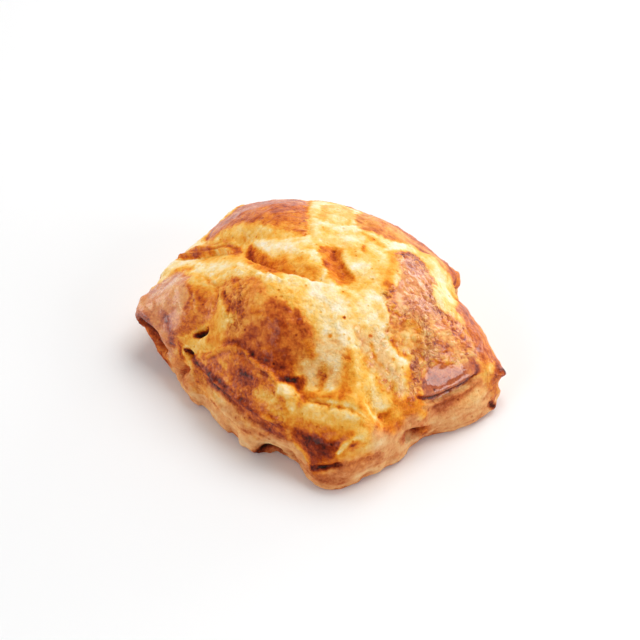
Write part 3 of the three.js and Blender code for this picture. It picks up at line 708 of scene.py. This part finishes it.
def vary_browning_and_shade(skin, top, wall):
    """Browning swings from place to place; hollows get painted shade and browner pooled glaze."""
    layers = skin.layers
    clouds = smoothstep(-0.25, 0.7, skin.grain(8, seed=20))
    layers["bake_and_shade"] += 0.13 * clouds * smoothstep(0.3, 0.1, layers["bake_and_shade"]) * top
    layers["bake_and_shade"] += 0.1 * skin.grain(6, seed=21) + 0.07 * skin.grain(2.2, seed=22)
    layers["bake_and_shade"] += 0.12 * skin.grain(1.5, seed=23, stretch=(5, 5, 1)) * wall
    # Painted shade, with pooled glaze: the hollows of the relief, fine and broad, are painted
    # browner.
    fine, broad = skin.hollowness(4), skin.hollowness(40)
    layers["bake_and_shade"] += np.clip(fine / 0.15, -0.2, 1) * (0.04 + 0.22 * layers["wrinkle"])
    layers["bake_and_shade"] += np.clip(broad / 0.6, -0.3, 1) * 0.08
    low = smoothstep(1.6, 0.3, skin.rest[:, 2] + 0.5 * skin.rag)
    foot_edge = low * smoothstep(-0.9, -0.5, skin.out[:, 2])
    skin.paint("bake_and_shade", 0.8, 0.8 * foot_edge)
    # Specks are strongest where pale meets brown, so that the edges of the browning are broken.
    steepness = np.abs(layers["bake_and_shade"] - skin.smoothed(layers["bake_and_shade"], 12))
    layers["mottle"] = 0.15 + 0.17 * layers["bake_and_shade"] + 1.5 * skin.smoothed(steepness, 4)


# ---- materials

# Browning from none to charred, as (place, (r, g, b) of 0 to 255 as seen on screen).
WASHED_SHADES = [
    (0, (254, 240, 214)), (0.1, (254, 226, 170)), (0.2, (252, 208, 124)), (0.3, (249, 187, 80)),
    (0.4, (243, 162, 50)), (0.5, (231, 131, 26)), (0.6, (208, 98, 12)), (0.7, (174, 66, 6)),
    (0.8, (134, 40, 4)), (0.9, (90, 22, 3)), (1, (44, 16, 6))]
DRY_SHADES = [
    (0, (252, 234, 204)), (0.2, (246, 208, 154)), (0.4, (236, 174, 112)), (0.55, (220, 138, 80)),
    (0.7, (186, 92, 46)), (0.85, (126, 48, 20)), (1, (50, 20, 8))]
MATT_ROUGHNESS = 0.64
GLAZED_ROUGHNESS = 0.3


def linear(part):
    return part / 12.92 if part <= 0.04045 else ((part + 0.055) / 1.055) ** 2.4


class NodeTree:
    """Short ways to add nodes to the tree of a material or world, laid out in rows of eight."""

    def __init__(self, owner):
        owner.use_nodes = True
        self.tree = owner.node_tree
        self.added = 0
        self.coordinates = self.add("ShaderNodeTexCoord").outputs

    def add(self, kind, inputs=None, **settings):
        node = self.tree.nodes.new(kind)
        node.location = (200 * (self.added % 8 - 9), -300 * (self.added // 8))
        self.added += 1
        for key, value in settings.items():
            setattr(node, key, value)
        self.fill(node, inputs or {})
        return node

    def fill(self, node, inputs):
        """Links inputs of a node, by name or number, or gives them their fixed value."""
        for key, value in inputs.items():
            if isinstance(value, bpy.types.NodeSocket):
                self.tree.links.new(value, node.inputs[key])
            else:
                node.inputs[key].default_value = value

    def layer(self, name):
        return self.add("ShaderNodeAttribute", attribute_name=name).outputs["Fac"]

    def math(self, operation, *values, clamp=False):
        inputs = dict(enumerate(values))
        return self.add("ShaderNodeMath", inputs, operation=operation, use_clamp=clamp).outputs[0]

    def speckle(self, size, detail, curl=0):
        """Noise of about -0.5 to 0.5 with lumps size mm across."""
        node = self.add("ShaderNodeTexNoise", {
            "Vector": self.coordinates["Object"], "Scale": 0.5 / (size * MM), "Detail": detail,
            "Distortion": curl})
        return self.math("SUBTRACT", node.outputs["Fac"], 0.5)

    def lines(self, ply, spacing, strength):
        """Uneven lines about spacing mm apart, of about -strength to strength."""
        inputs = {"W": ply, "Scale": 0.5 / spacing, "Detail": 3, "Roughness": 0.65}
        node = self.add("ShaderNodeTexNoise", inputs, noise_dimensions="1D")
        swing = self.math("MULTIPLY_ADD", node.outputs["Fac"], 2, -1)
        return self.math("MULTIPLY", swing, strength)

    def pits(self, spacing):
        """1 in small round pits in about every fourth cell of spacing mm, and 0 elsewhere."""
        cells = self.add("ShaderNodeTexVoronoi", {
            "Vector": self.coordinates["Object"], "Scale": 1 / (spacing * MM)}).outputs
        near = self.math("SUBTRACT", 0.26, cells["Distance"])
        shallow = self.math("MULTIPLY", near, 6, clamp=True)
        chosen = self.math("GREATER_THAN", cells["Color"], 0.72)
        return self.math("MULTIPLY", shallow, chosen)

    def creases(self, size, strength):
        """Up to strength along thin creases round lumps size mm across, and 0 elsewhere."""
        swing = self.math("ABSOLUTE", self.speckle(size, 3, curl=1.5))
        line = self.math("MULTIPLY_ADD", swing, -10, 1, clamp=True)
        here = self.math("MULTIPLY_ADD", self.speckle(3 * size, 1), 5, 0.45, clamp=True)
        return self.math("MULTIPLY", self.math("MULTIPLY", line, here), strength)

    def bump(self, height, depth):
        """The normal of a relief whose height of 1 stands for depth mm."""
        return self.add("ShaderNodeBump", {"Height": height, "Distance": depth * MM}).outputs[0]

    def ramp(self, shades, source):
        node = self.add("ShaderNodeValToRGB", {0: source})
        elements = node.color_ramp.elements
        while len(elements) < len(shades):
            elements.new(0.5)
        for element, (place, shade) in zip(elements, shades):
            element.position = place
            element.color = (*[linear(part / 255) for part in shade], 1)
        return node.outputs[0]

    def ranged(self, source, low, high, from_value, to_value):
        """from_value up to low, changing smoothly to to_value at high."""
        inputs = dict(enumerate((source, low, high, from_value, to_value)))
        node = self.add("ShaderNodeMapRange", inputs, interpolation_type="SMOOTHSTEP")
        return node.outputs[0]


def dough_colour(nodes, swings, pits, creases):
    """The shade of the browning, as broken up by specks, pits and creases."""
    mottle = nodes.math("MULTIPLY", nodes.layer("mottle"), swings)
    mottled = nodes.math("ADD", nodes.layer("bake_and_shade"), mottle)
    pitted = nodes.math("MULTIPLY_ADD", pits, 0.16, mottled)
    shade = nodes.math("MULTIPLY_ADD", creases, 0.34, pitted, clamp=True)
    washed, dry = nodes.ramp(WASHED_SHADES, shade), nodes.ramp(DRY_SHADES, shade)
    blend = nodes.add("ShaderNodeMix", {0: nodes.layer("dry"), 6: washed, 7: dry}, data_type="RGBA")
    return blend.outputs[2]


def baked_dough():
    material = bpy.data.materials.new("baked_dough")
    nodes = NodeTree(material)
    glaze = nodes.layer("glaze")
    coarse, fine, grit = nodes.speckle(2, 4), nodes.speckle(0.7, 3), nodes.speckle(0.3, 2)
    grainy = nodes.math("MULTIPLY_ADD", fine, 0.9, coarse)
    gritty = nodes.math("MULTIPLY_ADD", grit, 0.8, grainy)
    swings = nodes.math("ADD", gritty, nodes.lines(nodes.layer("ply"), 1, nodes.layer("plies")))
    pits = nodes.pits(1.7)
    creases = nodes.creases(1.2, nodes.layer("wrinkle"))
    rough = nodes.math("MULTIPLY_ADD", glaze, GLAZED_ROUGHNESS - MATT_ROUGHNESS, MATT_ROUGHNESS)
    pierced = nodes.math("MULTIPLY_ADD", pits, -0.5, swings)
    creased = nodes.math("MULTIPLY_ADD", creases, -1.2, pierced)
    smoother = nodes.math("MULTIPLY_ADD", creases, -0.6, nodes.speckle(2.6, 1))
    nodes.fill(nodes.tree.nodes["Principled BSDF"], {
        "Base Color": dough_colour(nodes, swings, pits, creases),
        "Roughness": nodes.math("MULTIPLY_ADD", fine, 0.25, rough, clamp=True),
        "Normal": nodes.bump(creased, 0.4),
        "Coat Weight": glaze, "Coat Roughness": 0.1, "Coat IOR": 1.55,
        # The glaze lies more smoothly than the dough under it.
        "Coat Normal": nodes.bump(smoother, 0.2),
        "Subsurface Weight": 0.1, "Subsurface Radius": (1.0, 0.45, 0.2),
        "Subsurface Scale": 1.2 * MM, "IOR": 1.46, "Specular IOR Level": 0.1})
    return material


# ---- the piece


def piece_from(skin, name, material):
    places = skin.rest + skin.shift
    places[:, 2] = np.maximum(places[:, 2], 0)
    mesh = bpy.data.meshes.new(name)
    mesh.from_pydata((places * MM).tolist(), [], skin.triangles.tolist())
    mesh.shade_smooth()
    for layer in LAYERS:
        attribute = mesh.attributes.new(layer, "FLOAT", "POINT")
        attribute.data.foreach_set("value", skin.layers[layer].astype(np.float32))
    mesh.materials.append(material)
    piece = bpy.data.objects.new(name, mesh)
    bpy.context.scene.collection.objects.link(piece)
    return piece


def start_layers(skin, top, wall, base):
    """Pale and matt on top, dry and browner on the walls and base."""
    skin.layers["bake_and_shade"] = 0.1 * top + 0.45 * wall + 0.6 * base
    skin.layers["dry"] = wall + base
    skin.layers["glaze"] = np.full(len(top), 0.05)
    skin.layers["wrinkle"] = np.zeros(len(top))


def torn_crumb(skin):
    """1 where the dough is torn open, and less where its surface is only rough."""
    torn = np.maximum(skin.stroke(LIP, 1.7, 0.8, rag=0.9), skin.area(CRUMBS, 0.8, 1.4))
    return np.maximum(torn, 0.4 * skin.area(WHITE, 1.6, 2))


def shape_skin(skin, top, wall, base, torn):
    puff_masses(skin)
    for folds, dents in [(TOP_FOLDS, TOP_DENTS), (WALL_FOLDS, WALL_DENTS)]:
        for fold in folds:
            skin.fold(*fold)
        for dent in dents:
            skin.dent(*dent)
    for run in WALL_CRACKS:
        skin.fold(run, [-2.2, -0.5, 0.2, 1.8], [0, 0.3, -0.5, 0], 0.6, 0.35)
    roughen(skin, top, wall, base, torn)
    raise_bubbles(skin)


def brown_and_shade_skin(skin, top, wall, base, torn):
    lay_plies(skin, top, base)
    brown_and_shade_walls(skin)
    brown_and_shade_top(skin)
    skin.paint("bake_and_shade", 0.08, 0.75 * torn)
    skin.paint("glaze", 0, torn)
    vary_browning_and_shade(skin, top, wall)
    for layer in ("bake_and_shade", "dry", "glaze", "plies"):
        skin.layers[layer] = np.clip(skin.layers[layer], 0, 1)


def make_scone():
    skin = make_skin()
    top = smoothstep(*TOP_FACING, skin.out[:, 2])
    base = smoothstep(*BASE_FACING, skin.out[:, 2])
    wall = 1 - top - base
    torn = torn_crumb(skin)
    start_layers(skin, top, wall, base)
    glaze_areas(skin)
    paint_pink_sheen(skin)
    skin.paint("wrinkle", 0.45, skin.stroke(MOUND_BUBBLES, 4.5, 0.5))
    shape_skin(skin, top, wall, base, torn)
    brown_and_shade_skin(skin, top, wall, base, torn)
    scone = piece_from(skin, "scone_skin", baked_dough())
    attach(scone, "root")
    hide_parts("scone")


# ---- studio, in metres

CAMERA_ELEVATION = math.radians(42)
CAMERA_DISTANCE = 0.463
CAMERA_AIM = Vector((0.00048, 0.00642, 0.01045))
LAMP_AIM = (0, 0, 0.015)
FLOOR_HALF = 3.0
SOFTBOXES = [  # name, place, size and watts
    ("top_softbox", (0.2, 0.25, 0.7), (0.6, 0.5), 3.75),
    ("left_softbox", (-0.5, -0.5, 0.4), (0.4, 0.4), 1.6),
    ("right_softbox", (0.6, -0.3, 0.33), (0.36, 0.28), 1.5),
    ("left_rim_softbox", (-0.75, 0.2, 0.12), (0.45, 0.2), 0.45),
    ("back_rim_softbox", (0.5, 0.53, 0.19), (0.4, 0.22), 0.9)]


def look_at(thing, place, target):
    thing.location = place
    thing.rotation_mode = "QUATERNION"
    thing.rotation_quaternion = (Vector(target) - Vector(place)).to_track_quat("-Z", "Y")


def add_camera():
    camera = bpy.data.objects.new("camera", bpy.data.cameras.new("camera"))
    camera.data.lens = 100
    camera.data.sensor_width = 36
    bpy.context.scene.collection.objects.link(camera)
    back = Vector((0, -math.cos(CAMERA_ELEVATION), math.sin(CAMERA_ELEVATION)))
    look_at(camera, CAMERA_AIM + CAMERA_DISTANCE * back, CAMERA_AIM)
    bpy.context.scene.camera = camera


def add_softbox(name, place, size, power):
    lamp = bpy.data.objects.new(name, bpy.data.lights.new(name, "AREA"))
    lamp.data.shape = "RECTANGLE"
    lamp.data.size, lamp.data.size_y = size
    lamp.data.energy = power
    bpy.context.scene.collection.objects.link(lamp)
    look_at(lamp, place, LAMP_AIM)


def add_tent():
    """A white tent round the piece: brightest low behind and beside it, dim towards the camera."""
    world = bpy.data.worlds.new("tent")
    nodes = NodeTree(world)
    axes = nodes.add("ShaderNodeSeparateXYZ", {0: nodes.coordinates["Generated"]}).outputs
    behind = nodes.ranged(axes["Y"], -0.7, -0.1, 0.15, 1.0)
    low = nodes.ranged(axes["Z"], 0.1, 0.9, 1.0, 0.3)
    nodes.fill(nodes.tree.nodes["Background"], {
        "Color": (1, 1, 1, 1), "Strength": nodes.math("MULTIPLY", behind, low)})
    bpy.context.scene.world = world


def add_studio():
    add_tent()
    for softbox in SOFTBOXES:
        add_softbox(*softbox)
    bpy.context.scene.view_settings.view_transform = "Standard"


def add_floor():
    mesh = bpy.data.meshes.new("floor")
    corners = [(-1, -1), (1, -1), (1, 1), (-1, 1)]
    mesh.from_pydata([(x * FLOOR_HALF, y * FLOOR_HALF, 0) for x, y in corners], [], [(0, 1, 2, 3)])
    material = bpy.data.materials.new("floor")
    material.use_nodes = True
    shader = material.node_tree.nodes["Principled BSDF"]
    shader.inputs["Base Color"].default_value = (0.92, 0.92, 0.92, 1)
    shader.inputs["Roughness"].default_value = 0.9
    mesh.materials.append(material)
    floor = bpy.data.objects.new("floor", mesh)
    bpy.context.scene.collection.objects.link(floor)


make_scone()
add_floor()
add_camera()
add_studio()
